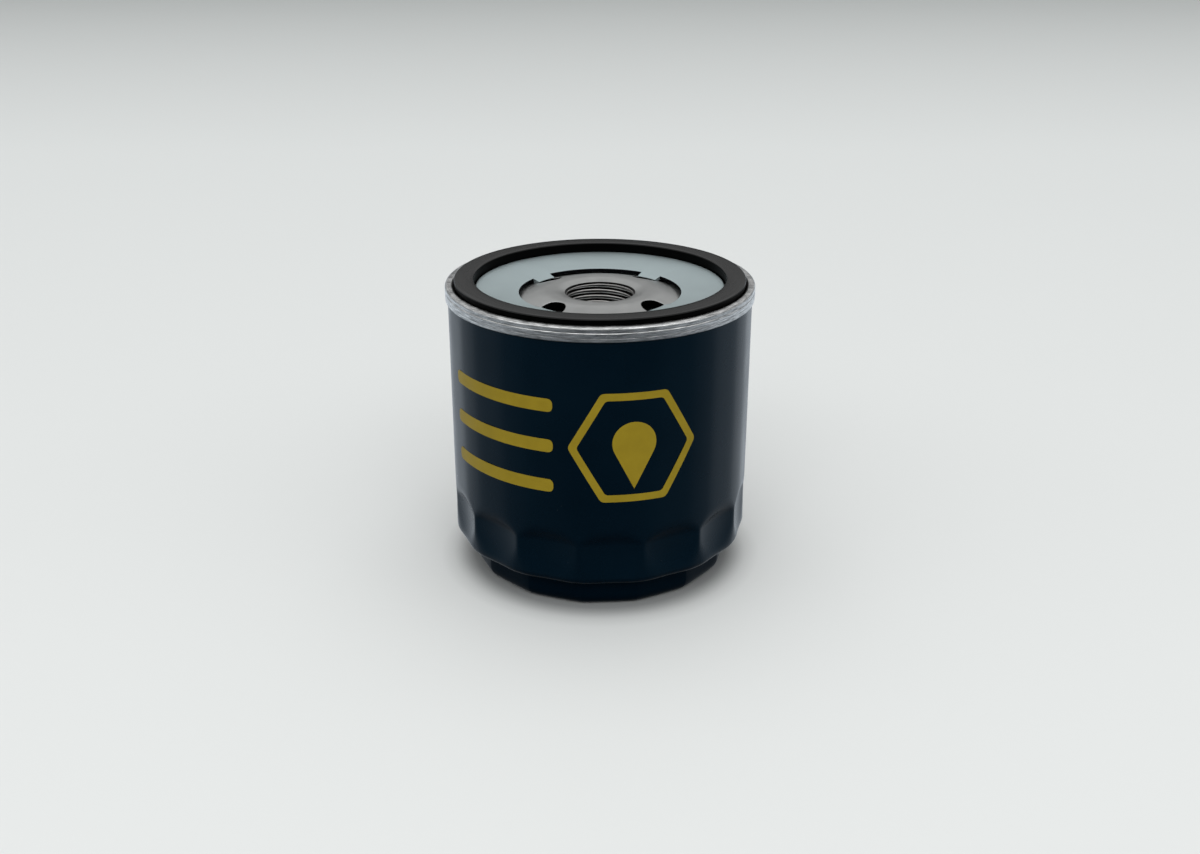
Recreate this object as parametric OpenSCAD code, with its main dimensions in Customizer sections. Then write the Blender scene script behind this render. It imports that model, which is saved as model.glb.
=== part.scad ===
// Spin-on oil filter, thread end up, standing on the domed end of its can.
// Millimetres, +Z up, origin at the centre of the base that it stands on.

/* [Overall] */
// Height from the base to the top of the sealing gasket
overall_h = 74.4; // [73.5:0.1:76]
// Diameter of the can's wall
can_d = 74.8; // [74.6:0.1:75]
// Diameter over the rolled seam
seam_d = 76; // [76:0.1:77]
// Thickness of the can's sheet
can_wall = 0.6; // [0.5:0.05:0.7]

/* [Can base] */
// Height of the shoulder below the flutes
shoulder_z = 8.1; // [7:0.1:9]
// Diameter of the neck that it stands on
neck_d = 66; // [64:0.5:67]
// Radius of the rounded edges of the shoulder and the base
edge_r = 2; // [1.5:0.1:2.5]
// Diameter of the recessed panel in the base
panel_d = 34; // [28:1:36]
// Depth of the recessed panel
panel_depth = 1; // [0.6:0.1:1.4]

/* [Wrench flutes] */
// Number of flutes
flute_count = 15; // [15:1:15]
// Depth of each flute at its middle
flute_depth = 1.5; // [1.2:0.05:1.5]
// Radius of each flute's hollow
flute_r = 40; // [38:1:42]
// Direction of the front flute from +X, in degrees
flute_azimuth = -86; // [-98:1:-74]
// Height where the flutes start to run out
flute_top = 18.4; // [16:0.1:20]
// Height over which the flutes run out
flute_runout = 4; // [3:0.5:5]

/* [Sealing gasket] */
// Inner diameter of the gasket
gasket_id = 61.9; // [61.5:0.1:62]
// Outer diameter of the gasket
gasket_od = 71.5; // [71:0.1:71.5]
// Height of the gasket
gasket_h = 4.55; // [4.3:0.05:4.6]

/* [Seaming lid] */
// Thickness of the lid's sheet
lid_t = 0.8; // [0.7:0.05:0.8]
// Diameter of the opening in the lid
opening_d = 39.9; // [39:0.1:41]
// Depth of the opening's edge below the gasket's top
opening_drop = 4; // [3.9:0.05:4.1]
// Depth of the gasket groove's inner lip below the gasket's top
lip_drop = 2.3; // [2.2:0.05:2.5]
// Height of the rolled seam
seam_h = 3.6; // [3.3:0.1:3.8]
// Depth of the seam's top below the gasket's top
seam_drop = 1.15; // [1:0.05:1.3]
// Angle that each bearing tab covers
tab_angle = 17.7; // [14:0.5:18]

/* [Tapping plate] */
// Major diameter of the thread
thread_d = 18; // [18:1:18]
// Pitch of the thread
thread_pitch = 1.5; // [1.5:0.25:1.5]
// Number of full turns of the thread
thread_turns = 6; // [5:1:6]
// Outer diameter of the threaded collar
collar_d = 22.4; // [22:0.2:22.4]
// Height of the collar's lower end
collar_z = 59.4; // [59.4:0.1:59.8]
// Depth of the plate's crown below the gasket's top
crown_drop = 3.6; // [3.5:0.05:3.7]
// Thickness of the plate
plate_t = 2.4; // [2.2:0.1:2.4]
// Diameter of the inlet ports
port_d = 6.6; // [6:0.1:6.6]
// Diameter of the circle that the ports lie on
port_circle_d = 34.8; // [34:0.2:35]
// Direction of the first port and tab from +X, in degrees
port_azimuth = 48.8; // [45:0.2:52]

/* [Filter element] */
// Outer diameter of the end caps
cap_d = 66; // [64:0.5:66]
// Thickness of the end caps
cap_t = 0.6; // [0.5:0.05:0.6]
// Height of the lower end cap's underside
element_z = 14; // [13.5:0.1:14.2]
// Height of the upper end cap's top
element_top = 60.4; // [60.4:0.1:60.6]
// Number of pleats
pleat_count = 45; // [40:1:48]
// Outer diameter over the pleats
pleat_od = 63.8; // [62:0.2:63.8]
// Inner diameter over the pleats
pleat_id = 27.8; // [27.6:0.2:29]
// Thickness of the filter paper
paper_t = 0.6; // [0.5:0.05:0.7]
// Outer diameter of the centre tube
tube_d = 26.4; // [26:0.1:26.6]
// Diameter of the tube's perforations
perforation_d = 3.6; // [3:0.1:4]

/* [Valves and springs] */
// Inner diameter of the bypass port
bypass_port_d = 13; // [12:0.5:14]
// Outer diameter of the bypass cage
cage_d = 21; // [20:0.2:21.4]
// Diameter of the bypass valve's stem
stem_d = 3; // [2.8:0.1:3.2]
// Wire thickness of the bypass spring
bypass_wire = 0.9; // [0.8:0.05:0.95]
// Wire thickness of the support spring
support_wire = 2.2; // [2:0.1:2.3]
// Mean diameter of the support spring
support_d = 42; // [40:0.5:46]
// Height of the anti-drain valve's sleeve above the collar's end
valve_lift = 4.6; // [4.5:0.05:4.7]

/* [Hidden] */

$fn = 120;
gap = 0.05;
touch = 0.02;
running_gap = 0.03;
over = 1;

can_r = can_d / 2;
neck_r = neck_d / 2;
seam_r = seam_d / 2;
panel_r = panel_d / 2;
panel_slope = 2;
flute_margin = 0.08;

// The lid's section
gasket_ir = gasket_id / 2;
gasket_or = gasket_od / 2;
gasket_chamfer = 0.3;
groove_side = 0.2;
groove_ir = gasket_ir - groove_side;
groove_or = gasket_or + groove_side;
groove_z = overall_h - gasket_h;
lip_z = overall_h - lip_drop;
lip_round = 0.45;
edge_bend = 0.35;
opening_r = opening_d / 2;
opening_z = overall_h - opening_drop;
lid_slope = (lip_z - lip_round / 2 - opening_z) / (groove_ir - lid_t - opening_r);
seam_top = overall_h - seam_drop;
seam_z = seam_top - seam_h;
roll_r = 0.32;
skirt_ir = can_r + gap;
wall_or = can_r - can_wall - 2 * gap;
hook_t = 0.65;
channel_z = seam_top - hook_t;
sealant_h = 0.35;
can_top = channel_z - sealant_h;
crease_z = seam_top - 1.35;
crease_h = 0.2;
crease_depth = 0.14;

// The plate's section
crown_z = overall_h - crown_drop;
thread_minor_r = thread_d / 2 - thread_pitch * 5 / 8 * cos(30);
thread_root_h = thread_pitch / 8;
thread_mouth_h = thread_pitch * 3 / 4;
thread_top = crown_z - 1.3;
thread_end = collar_z + 0.5;
thread_lead_in = 1.3;
collar_r = collar_d / 2;
collar_chamfer = 0.4;
crown_r = 14.4;
valley_r = 20.6;
valley_z = crown_z - 1.9;
valley_end_r = 23;
rim_start_r = 25.2;
plate_r = 28.2;
bend_shift = 0.8;
mouth_r = 1.4;
port_r = port_d / 2;
port_circle_r = port_circle_d / 2;
tab_reach = 0.95;
tab_root = 0.5;
tab_step = 0.1;

// The element's section
cap_r = cap_d / 2;
cap_skirt = 3;
cap_lip = 2.4;
cap_bore_r = collar_r + 0.25;
adhesive_t = 1.2;
tube_r = tube_d / 2;
tube_wall = 0.6;
media_z = element_z + cap_t + adhesive_t;
media_top = element_top - cap_t - adhesive_t;
perforation_rows = 7;
perforations_around = 8;
pleat_tip = 0.55;
pleat_root = 0.45;
clip_t = 0.35;
clip_inside = 0.9;
clip_depth = 4.1;
clip_margin = 0.6;

// The valves
floor_z = element_z + cap_t;
seat_t = 0.9;
seat_r = 9.3;
disc_z = floor_z + seat_t + touch / 2;
disc_t = 0.8;
disc_r = 8.8;
boss_r = 3.4;
boss_h = 1.7;
cage_r = cage_d / 2;
cage_t = 0.6;
cage_top = floor_z + 13;
cage_flange_r = 12.4;
stem_r = stem_d / 2;
stem_head = 1;
stem_head_t = 0.6;
stem_end = cage_top + 2.4;
valve_sleeve_r = collar_r + 2 * running_gap;
valve_sleeve_z = collar_z + valve_lift;
valve_lip_r = 23.6;
seal_h = 2.2;
seal_t = 3;
bypass_mean_r = 4.6;
level_turns = 0.4;

// A square from the axis out to r, between two heights
module band(r, low, high) {
    translate([0, low]) square([r, high - low]);
}

// A rectangle in a section, from one corner to the opposite one
module block(r_in, r_out, low, high) {
    translate([r_in, low]) square([r_out - r_in, high - low]);
}

// Half the section of the can, solid, with the sheet's thickness taken off by inset
module can_section(inset) {
    r = edge_r - inset;
    difference() {
        union() {
            band(can_r - inset, shoulder_z + edge_r, can_top + (inset > 0 ? over : 0));
            band(can_r - edge_r, shoulder_z + inset, shoulder_z + edge_r + gap);
            translate([can_r - edge_r, shoulder_z + edge_r]) circle(r);
            band(neck_r - inset, edge_r, shoulder_z + edge_r);
            band(neck_r - edge_r, inset, edge_r + gap);
            translate([neck_r - edge_r, edge_r]) circle(r);
        }
        translate([-can_r, 0]) square([can_r, overall_h]);
        polygon([
            [0, -over],
            [panel_r + panel_slope + inset, -over],
            [panel_r + panel_slope + inset, inset],
            [panel_r + inset / 2, panel_depth + inset],
            [0, panel_depth + inset]
        ]);
    }
}

// The solids that hollow out the flutes, grown by the sheet's thickness for the inside.
// Each one is a slice, just wide enough to clear the can, so that neighbours stay apart.
module flute_cutters(grow) {
    centre = can_r - flute_depth + flute_r;
    r = flute_r + grow;
    reach = acos((r * r + centre * centre - pow(can_r - grow, 2)) / (2 * r * centre));
    half = reach + flute_margin;
    taper = 1.1;
    for (i = [0 : flute_count - 1])
        rotate(flute_azimuth + i * 360 / flute_count)
            translate([centre, 0, 0])
                rotate(180 - half)
                    rotate_extrude(angle = 2 * half)
                        polygon([
                            [flute_r / 2, shoulder_z - over],
                            [r, shoulder_z - over],
                            [r, flute_top],
                            [r - flute_depth * taper, flute_top + flute_runout * taper],
                            [flute_r / 2, flute_top + flute_runout * taper]
                        ]);
}

module can() {
    color([0.02, 0.06, 0.1])
        difference() {
            difference() {
                rotate_extrude() can_section(0);
                flute_cutters(0);
            }
            difference() {
                rotate_extrude() can_section(can_wall);
                flute_cutters(can_wall);
            }
        }
}

// Height of the lid's sloping top at a radius
function lid_top(r) = opening_z + (r - opening_r) * lid_slope;

// Height of the plate's sloping flank at a radius
function flank_z(r) = crown_z - (r - crown_r) * (crown_z - valley_z) / (valley_r - crown_r);

// One bearing tab's section, rooted in the lid's edge and bent down to the plate's flank
module tab_section() {
    inner_r = opening_r - tab_reach;
    heel_r = opening_r - tab_step;
    root_r = opening_r + tab_root;
    polygon([
        [root_r, opening_z - tab_step],
        [opening_r - edge_bend, opening_z - tab_step],
        [inner_r, flank_z(inner_r) + lid_t],
        [inner_r, flank_z(inner_r) + gap],
        [heel_r, flank_z(heel_r) + gap],
        [root_r, opening_z - lid_t + 2 * tab_step]
    ]);
}

module seaming_lid() {
    color([0.66, 0.7, 0.72]) {
        rotate_extrude()
            difference() {
                union() {
                    polygon([
                        [opening_r, opening_z],
                        [groove_ir - lid_t, lip_z - lip_round / 2],
                        [groove_ir - lip_round, lip_z],
                        [groove_ir, lip_z - lip_round],
                        [groove_ir, groove_z],
                        [groove_or, groove_z],
                        [groove_or, seam_top - roll_r],
                        [seam_r, seam_top - roll_r],
                        [seam_r, seam_z + gap],
                        [seam_r - 2 * gap, seam_z],
                        [skirt_ir, seam_z],
                        [skirt_ir, channel_z],
                        [wall_or, channel_z],
                        [wall_or, groove_z - lid_t],
                        [groove_ir - lid_t, groove_z - lid_t],
                        [groove_ir - lid_t, lip_z - lip_round / 2 - lid_t],
                        [opening_r, opening_z - lid_t]
                    ]);
                    block(groove_or + roll_r, seam_r - roll_r, channel_z, seam_top);
                    translate([groove_or + roll_r, seam_top - roll_r]) circle(roll_r);
                    translate([seam_r - roll_r, seam_top - roll_r]) circle(roll_r);
                }
                polygon([
                    [seam_r - crease_depth, crease_z],
                    [seam_r + gap, crease_z + crease_h],
                    [seam_r + gap, crease_z - crease_h]
                ]);
            }
        for (i = [0 : 3])
            rotate(port_azimuth + i * 90 - tab_angle / 2)
                rotate_extrude(angle = tab_angle) tab_section();
    }
}

module seam_sealant() {
    color([0.45, 0.44, 0.4])
        rotate_extrude()
            block(can_r - can_wall, can_r - gap / 2, can_top + touch, channel_z - touch);
}

module thread_grooves() {
    for (i = [0 : thread_turns - 1])
        translate([0, thread_top - (i + 0.5) * thread_pitch])
            polygon([
                [thread_minor_r - gap, thread_mouth_h / 2 + gap * tan(30)],
                [thread_d / 2, thread_root_h / 2],
                [thread_d / 2, -thread_root_h / 2],
                [thread_minor_r - gap, -thread_mouth_h / 2 - gap * tan(30)]
            ]);
}

// The plate's section: threaded collar, crown, flank, valley and the rim under the lid
module plate_section() {
    difference() {
        polygon([
            [thread_minor_r, collar_z],
            [collar_r - collar_chamfer, collar_z],
            [collar_r, collar_z + collar_chamfer],
            [collar_r, crown_z - plate_t],
            [crown_r, crown_z - plate_t],
            [valley_r, valley_z - plate_t],
            [valley_end_r + bend_shift, valley_z - plate_t],
            [rim_start_r + bend_shift, lid_top(rim_start_r) - lid_t - plate_t],
            [plate_r, lid_top(plate_r) - lid_t - plate_t],
            [plate_r, lid_top(plate_r) - lid_t - gap],
            [rim_start_r, lid_top(rim_start_r) - lid_t - gap],
            [valley_end_r, valley_z],
            [valley_r, valley_z],
            [crown_r, crown_z],
            [thread_minor_r, crown_z]
        ]);
        difference() {
            block(thread_minor_r - over, thread_minor_r + mouth_r, thread_top, crown_z + over);
            translate([thread_minor_r + mouth_r, thread_top]) circle(mouth_r);
        }
        polygon([
            [thread_minor_r - over, collar_z - over],
            [thread_minor_r + thread_lead_in, collar_z - over],
            [thread_minor_r, thread_end],
            [thread_minor_r - over, thread_end]
        ]);
        thread_grooves();
    }
}

module tapping_plate() {
    color([0.54, 0.54, 0.53])
        difference() {
            rotate_extrude() plate_section();
            for (i = [0 : 3])
                rotate(port_azimuth + i * 90)
                    translate([port_circle_r, 0, valley_z - plate_t - over])
                        cylinder(r = port_r, h = 3 * plate_t + over);
        }
}

module sealing_gasket() {
    c = gasket_chamfer;
    color([0.08, 0.08, 0.08])
        rotate_extrude()
            polygon([
                [gasket_ir + c, groove_z],
                [gasket_or - c, groove_z],
                [gasket_or, groove_z + c],
                [gasket_or, overall_h - c],
                [gasket_or - c, overall_h],
                [gasket_ir + c, overall_h],
                [gasket_ir, overall_h - c],
                [gasket_ir, groove_z + c]
            ]);
}

// A rubber diaphragm: a sleeve round the collar, a web, and a lip against the plate
module anti_drain_valve() {
    lip_top = valley_z - plate_t - touch;
    lip_chamfer = 0.4;
    web_t = 0.9;
    sleeve_h = 2.4;
    sleeve_t = 1.65;
    lip_t = 1.3;
    lip_slant = 0.6;
    web_z = valve_sleeve_z + 0.6;
    color([0.16, 0.15, 0.16])
        rotate_extrude()
            polygon([
                [valve_sleeve_r, valve_sleeve_z],
                [valve_sleeve_r + sleeve_t, valve_sleeve_z],
                [valve_sleeve_r + sleeve_t, web_z],
                [valve_lip_r - 1, web_z],
                [valve_lip_r, web_z + web_t],
                [valve_lip_r, lip_top - lip_chamfer],
                [valve_lip_r - lip_chamfer, lip_top],
                [valve_lip_r - lip_t, lip_top],
                [valve_lip_r - lip_t - lip_slant, web_z + web_t],
                [valve_sleeve_r + sleeve_t, web_z + web_t],
                [valve_sleeve_r + sleeve_t, valve_sleeve_z + sleeve_h],
                [valve_sleeve_r, valve_sleeve_z + sleeve_h]
            ]);
}

module element_seal() {
    color([0.2, 0.18, 0.17])
        rotate_extrude()
            block(collar_r + running_gap, collar_r + seal_t, element_top, element_top + seal_h);
}

module upper_end_cap() {
    color([0.72, 0.7, 0.62])
        rotate_extrude() {
            block(cap_bore_r, cap_r, element_top - cap_t, element_top);
            block(cap_r - cap_t, cap_r, element_top - cap_t - cap_skirt, element_top - cap_t / 2);
            block(cap_bore_r, cap_bore_r + cap_t, element_top - cap_lip, element_top - cap_t / 2);
        }
}

module lower_end_cap() {
    color([0.72, 0.7, 0.62])
        rotate_extrude() {
            block(bypass_port_d / 2, cap_r, element_z, floor_z);
            block(cap_r - cap_t, cap_r, element_z + cap_t / 2, floor_z + cap_skirt);
        }
}

// A cured bead of adhesive that holds the paper's edge in an end cap
module adhesive_bead(z) {
    rotate_extrude()
        block(tube_r + gap, cap_r - cap_t - gap, z, z + adhesive_t);
}

module upper_adhesive() {
    color([0.75, 0.35, 0.2]) adhesive_bead(media_top);
}

module lower_adhesive() {
    color([0.75, 0.35, 0.2]) adhesive_bead(floor_z);
}

function polar(r, angle) = [r * cos(angle), r * sin(angle)];

// The pleats: an outer zigzag less an inner one, so the paper has one thickness
module pleated_media() {
    pitch = 360 / pleat_count;
    outer_r = pleat_od / 2;
    inner_r = pleat_id / 2;
    tip_angle = asin(pleat_tip / outer_r);
    root_angle = asin(pleat_root / inner_r);
    outside = [for (i = [0 : pleat_count - 1]) each [
        polar(inner_r + paper_t, (i - 0.5) * pitch),
        polar(outer_r, i * pitch - tip_angle),
        polar(outer_r, i * pitch + tip_angle)
    ]];
    inside = [for (i = [0 : pleat_count - 1]) each [
        polar(inner_r, (i - 0.5) * pitch + root_angle),
        polar(outer_r - paper_t, i * pitch),
        polar(inner_r, (i + 0.5) * pitch - root_angle)
    ]];
    color([0.86, 0.74, 0.42])
        translate([0, 0, media_z])
            linear_extrude(media_top - media_z)
                difference() {
                    polygon(outside);
                    polygon(inside);
                }
}

// A folded steel strip that joins the two ends of the paper at one pleat
module media_seam_clip() {
    outer_r = pleat_od / 2 + gap + clip_t;
    width = 2 * (clip_inside + clip_t);
    color([0.7, 0.7, 0.7])
        translate([0, 0, media_z + clip_margin])
            linear_extrude(media_top - media_z - 2 * clip_margin)
                difference() {
                    translate([outer_r - clip_depth, -width / 2]) square([clip_depth, width]);
                    translate([outer_r - clip_depth - over, -clip_inside])
                        square([clip_depth + over - clip_t, 2 * clip_inside]);
                }
}

module centre_tube() {
    length = element_top - cap_t - floor_z;
    pitch = length / perforation_rows;
    color([0.66, 0.67, 0.68])
        difference() {
            rotate_extrude()
                block(tube_r - tube_wall, tube_r, floor_z, element_top - cap_t);
            for (row = [0 : perforation_rows - 1])
                for (i = [0 : perforations_around / 2 - 1])
                    translate([0, 0, floor_z + (row + 0.5) * pitch])
                        rotate((i + (row % 2) / 2) * 360 / perforations_around)
                            rotate([90, 0, 0])
                                cylinder(d = perforation_d, h = 2 * tube_d, center = true, $fn = 32);
        }
}

module bypass_seat() {
    color([0.12, 0.1, 0.1])
        rotate_extrude()
            block(bypass_port_d / 2, seat_r, floor_z, floor_z + seat_t);
}

module bypass_disc() {
    color([0.7, 0.68, 0.55])
        rotate_extrude() {
            block(stem_r, disc_r, disc_z, disc_z + disc_t);
            block(stem_r, boss_r, disc_z + disc_t / 2, disc_z + disc_t + boss_h);
        }
}

module bypass_stem() {
    color([0.75, 0.75, 0.74])
        rotate_extrude() {
            block(0, stem_r, disc_z, stem_end);
            block(0, stem_r + stem_head, disc_z - stem_head_t, disc_z);
        }
}

module bypass_cage() {
    window_w = 8;
    window_edge = 2.6;
    window_low = floor_z + window_edge;
    window_high = cage_top - window_edge;
    color([0.7, 0.7, 0.68])
        difference() {
            rotate_extrude() {
                block(cage_r - cage_t, cage_flange_r, floor_z, floor_z + cage_t);
                block(cage_r - cage_t, cage_r, floor_z, cage_top);
                block(stem_r + 2 * running_gap, cage_r, cage_top - cage_t, cage_top);
            }
            for (i = [0 : 1])
                rotate(i * 90)
                    translate([-window_w / 2, -cage_d, window_low])
                        cube([window_w, 2 * cage_d, window_high - window_low]);
        }
}

// Share of a coil's rise for t from 0 to 1, with its two ends ground level
function coil_rise(t, turns) =
    let (flat = level_turns / turns)
    max(0, min(1, (t - flat) / (1 - 2 * flat)));

// A compression spring of round wire between two heights
module coil_spring(mean_r, wire, low, high, turns, steps, sides) {
    count = turns * steps;
    rise = high - low - wire;
    points = [
        for (i = [0 : count]) let (
            t = i / count,
            angle = 360 * turns * t,
            z = low + wire / 2 + rise * coil_rise(t, turns)
        ) for (k = [0 : sides - 1]) let (a = 360 * (k + 0.5) / sides)
            [
                (mean_r + wire / 2 * cos(a)) * cos(angle),
                (mean_r + wire / 2 * cos(a)) * sin(angle),
                z + wire / 2 * sin(a)
            ]
    ];
    tube_faces = [
        for (i = [0 : count - 1], k = [0 : sides - 1]) let (
            a = i * sides + k,
            b = i * sides + (k + 1) % sides
        ) each [[a, b, b + sides], [a, b + sides, a + sides]]
    ];
    first_end = [[for (k = [sides - 1 : -1 : 0]) k]];
    last_end = [[for (k = [0 : sides - 1]) count * sides + k]];
    polyhedron(points, concat(tube_faces, first_end, last_end));
}

module bypass_spring() {
    color([0.6, 0.6, 0.62])
        coil_spring(
            bypass_mean_r, bypass_wire,
            disc_z + disc_t + touch, cage_top - cage_t - touch,
            turns = 6, steps = 24, sides = 8
        );
}

module support_spring() {
    color([0.55, 0.55, 0.57])
        coil_spring(
            support_d / 2, support_wire,
            can_wall + touch, element_z - touch,
            turns = 3.5, steps = 36, sides = 8
        );
}

can();
seaming_lid();
seam_sealant();
tapping_plate();
sealing_gasket();
anti_drain_valve();
element_seal();
upper_end_cap();
upper_adhesive();
pleated_media();
media_seam_clip();
centre_tube();
lower_adhesive();
lower_end_cap();
bypass_seat();
bypass_disc();
bypass_stem();
bypass_spring();
bypass_cage();
support_spring();
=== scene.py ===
"""A spin-on oil filter, standing thread end up on a pale floor. Metres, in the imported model's frame."""

import math

import bmesh
import bpy
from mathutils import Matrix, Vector
from mathutils.geometry import delaunay_2d_cdt


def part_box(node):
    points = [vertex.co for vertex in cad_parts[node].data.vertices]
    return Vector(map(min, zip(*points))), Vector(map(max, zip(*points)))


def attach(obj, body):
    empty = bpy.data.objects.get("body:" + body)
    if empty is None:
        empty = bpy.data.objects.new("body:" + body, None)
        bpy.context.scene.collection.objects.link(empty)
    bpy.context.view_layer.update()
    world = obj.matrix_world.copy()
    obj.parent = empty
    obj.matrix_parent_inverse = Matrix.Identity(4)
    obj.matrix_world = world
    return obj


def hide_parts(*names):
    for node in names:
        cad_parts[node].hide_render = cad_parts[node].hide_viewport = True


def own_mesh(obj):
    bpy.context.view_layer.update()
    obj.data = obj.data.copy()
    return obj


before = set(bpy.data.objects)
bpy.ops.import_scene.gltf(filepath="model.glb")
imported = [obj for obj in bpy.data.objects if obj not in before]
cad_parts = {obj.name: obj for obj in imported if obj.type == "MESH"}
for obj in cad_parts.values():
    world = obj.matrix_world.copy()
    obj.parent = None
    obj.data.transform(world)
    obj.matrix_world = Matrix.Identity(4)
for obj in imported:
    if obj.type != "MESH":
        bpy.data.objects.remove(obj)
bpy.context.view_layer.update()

MM = 0.001
TURN = 2 * math.pi
FRONT = -TURN / 4

# --------------------------------------------------
# Sizes in millimetres: what a CAD node's box gives is read from it, the rest is the part's design
# --------------------------------------------------


def low_mm(node):
    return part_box(node)[0] / MM


def high_mm(node):
    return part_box(node)[1] / MM


TOP_Z = high_mm("sealing_gasket").z
SEAM_R = -low_mm("seaming_lid").x
SEAM_PROUD = 0.6
SEAM_TOP = high_mm("seaming_lid").z
CAN_TOP = high_mm("can").z
GASKET_R = high_mm("sealing_gasket").x
GROOVE_Z = low_mm("sealing_gasket").z
PLATE_R = high_mm("tapping_plate").x
CROWN_Z = high_mm("tapping_plate").z
COLLAR_Z = low_mm("tapping_plate").z

CAN_R = SEAM_R - SEAM_PROUD
CAN_WALL = 0.6
SHOULDER_Z = 8.1
NECK_R = 33.3
NECK_ROUND = 3.8
NECK_SOFT = 0.014
EDGE_R = 2
PANEL_R = 17
PANEL_DEPTH = 1
PANEL_SLOPE = 2

FLUTES = 15
FLUTE_DEPTH = 1.5
FLUTE_R = 40
FLUTE_AZIMUTH = math.radians(-86)
FLUTE_TOP = 18.4
FLUTE_RUNOUT = 5.5
FLUTE_FADE_Z = 17
FLUTE_FADE = 1.0

LID_T = 0.8
GASKET_IR = 30.95
GROOVE_SIDE = 0.2
LIP_Z = TOP_Z - 2.3
OPENING_R = 19.95
OPENING_Z = TOP_Z - 4
SEAM_H = 3.6
TAB_ANGLE = math.radians(17.7)
TAB_REACH = 1.7

THREAD_R = 9
THREAD_PITCH = 1.5
THREAD_MINOR_R = THREAD_R - THREAD_PITCH * 5 / 8 * math.cos(math.radians(30))
THREAD_END = COLLAR_Z + 0.5
THREAD_SHIFT = 0.875
THREAD_FADE = 0.5
CREST_WORN = 0.07
MOUTH_R = 8.7
MOUTH_START_R = 11.4
MOUTH_ROUND = 6
MOUTH_EDGE = 0.1
MOUTH_DROP = MOUTH_ROUND - math.sqrt(MOUTH_ROUND ** 2 - (MOUTH_START_R - MOUTH_R) ** 2)
COLLAR_R = 11.2
CROWN_R = 14.4
VALLEY_R = 20.6
VALLEY_END_R = 23
RIM_START_R = 25.2
VALLEY_Z = CROWN_Z - 1.9
PLATE_T = 2.4
PORT_R = 3.3
PORT_STEPS = 72
PORT_CIRCLE_R = 17.4
PORT_AZIMUTH = math.radians(48.8)
PORTS = [PORT_AZIMUTH + i * TURN / 4 for i in range(4)]
GAP = 0.05
MARKS_R = 37

# --------------------------------------------------
# Mesh tools. Outlines and points are in millimetres.
# --------------------------------------------------


def make_object(name, verts, faces, sharp=32):
    """An object from points in millimetres, welded, with normals out and edges sharp above an angle."""
    mesh = bpy.data.meshes.new(name)
    mesh.from_pydata([Vector(v) * MM for v in verts], [], faces)
    work = bmesh.new()
    work.from_mesh(mesh)
    bmesh.ops.remove_doubles(work, verts=work.verts, dist=0.002 * MM)
    bmesh.ops.dissolve_degenerate(work, edges=work.edges, dist=0.001 * MM)
    bmesh.ops.recalc_face_normals(work, faces=work.faces)
    work.to_mesh(mesh)
    work.free()
    for polygon in mesh.polygons:
        polygon.use_smooth = True
    mesh.set_sharp_from_angle(angle=math.radians(sharp))
    piece = bpy.data.objects.new(name, mesh)
    bpy.context.scene.collection.objects.link(piece)
    return piece


def filleted(corners, steps=5):
    """A closed outline from (r, z, fillet radius) corners, each one rounded as far as its sides allow."""
    outline = []
    count = len(corners)
    for i, (r, z, radius) in enumerate(corners):
        here = Vector((r, z))
        back = Vector(corners[i - 1][:2]) - here
        ahead = Vector(corners[(i + 1) % count][:2]) - here
        if radius <= 0:
            outline.append((r, z))
            continue
        half = back.angle(ahead) / 2
        if half > math.radians(89.5):
            outline.append((r, z))
            continue
        reach = min(radius / math.tan(half), back.length * 0.49, ahead.length * 0.49)
        radius = reach * math.tan(half)
        start = here + back.normalized() * reach
        end = here + ahead.normalized() * reach
        middle = here + (back.normalized() + ahead.normalized()).normalized() * radius / math.sin(half)
        first = start - middle
        sweep = first.angle_signed(end - middle)
        for k in range(steps + 1):
            angle = -sweep * k / steps
            turned = Vector((
                first.x * math.cos(angle) - first.y * math.sin(angle),
                first.x * math.sin(angle) + first.y * math.cos(angle),
            ))
            outline.append(tuple(middle + turned))
    return outline


def polar(r, angle, z):
    return (r * math.cos(angle), r * math.sin(angle), z)


def sweep_rings(rings, closed_ring=True, closed_path=True):
    """Quads over a list of point rings of the same length."""
    size = len(rings[0])
    verts = [p for ring in rings for p in ring]
    faces = []
    for i in range(len(rings) if closed_path else len(rings) - 1):
        j = (i + 1) % len(rings)
        for k in range(size if closed_ring else size - 1):
            n = (k + 1) % size
            faces.append((i * size + k, i * size + n, j * size + n, j * size + k))
    return verts, faces


def revolve(name, outline, segments=192, sharp=32):
    """A ring-shaped solid: a closed outline of (r, z) points turned round the axis."""
    rings = [[polar(r, TURN * i / segments, z) for r, z in outline] for i in range(segments)]
    return make_object(name, *sweep_rings(rings), sharp=sharp)


def spaced(start, end, count):
    """Evenly spaced values from start up to, and without, end."""
    return [start + (end - start) * i / count for i in range(count)]


def arc(centre_r, centre_z, radius, start, end, steps):
    """Points on a section's arc, with its angles in degrees."""
    angles = [math.radians(start + (end - start) * i / steps) for i in range(steps + 1)]
    return [(centre_r + radius * math.cos(a), centre_z + radius * math.sin(a)) for a in angles]


# --------------------------------------------------
# Materials
# --------------------------------------------------


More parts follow.
